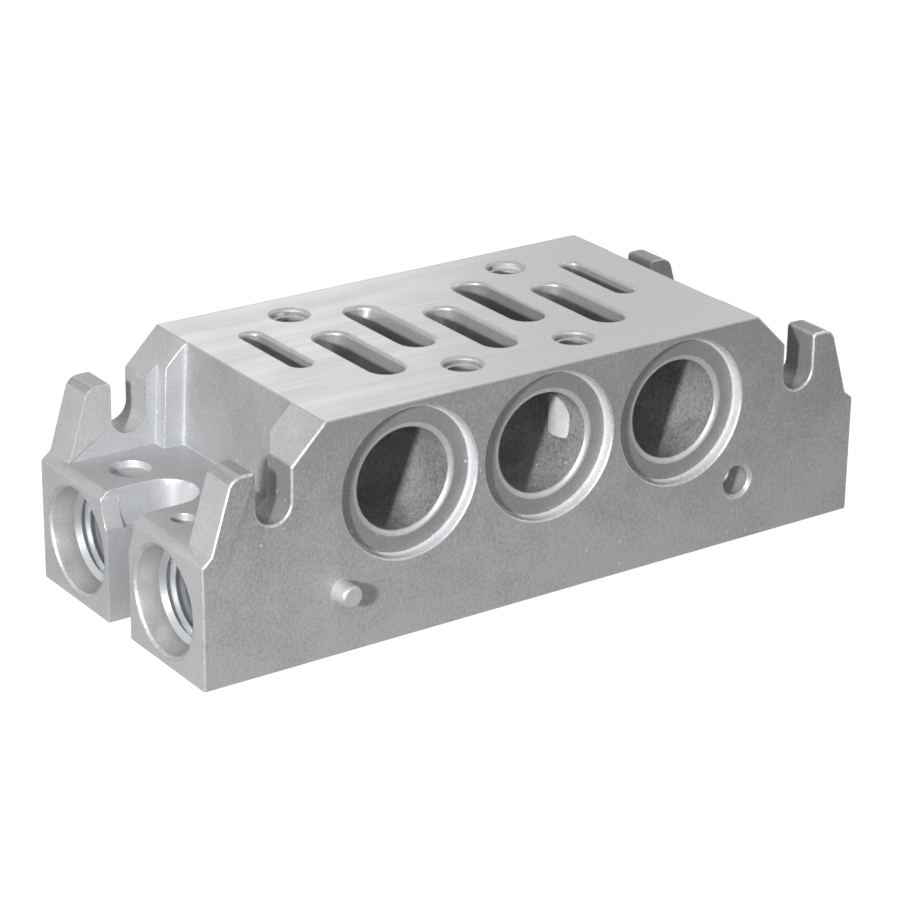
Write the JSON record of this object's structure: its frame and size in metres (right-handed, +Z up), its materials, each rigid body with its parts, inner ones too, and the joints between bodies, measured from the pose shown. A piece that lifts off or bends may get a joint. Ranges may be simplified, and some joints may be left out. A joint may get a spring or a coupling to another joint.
{
  "type": "valve base plate",
  "caption": "Cast aluminium base plate that carries a directional air valve and gangs side to side with its neighbours, with threaded outlets in one end.",
  "frame": {"origin": "middle of the footprint, on the underside, with both locating pins counted", "axes": "+X along the plate, away from the end with the threaded outlets; +Y across it to the far joint face; +Z up, out of the valve face"},
  "size_m": [0.106, 0.0474, 0.0325],
  "materials": {
    "cast_aluminium": "satin, as cast, with milled faces"
  },
  "bodies": {
    "root": {"base_plate": "cast_aluminium"}
  },
  "joints": []
}
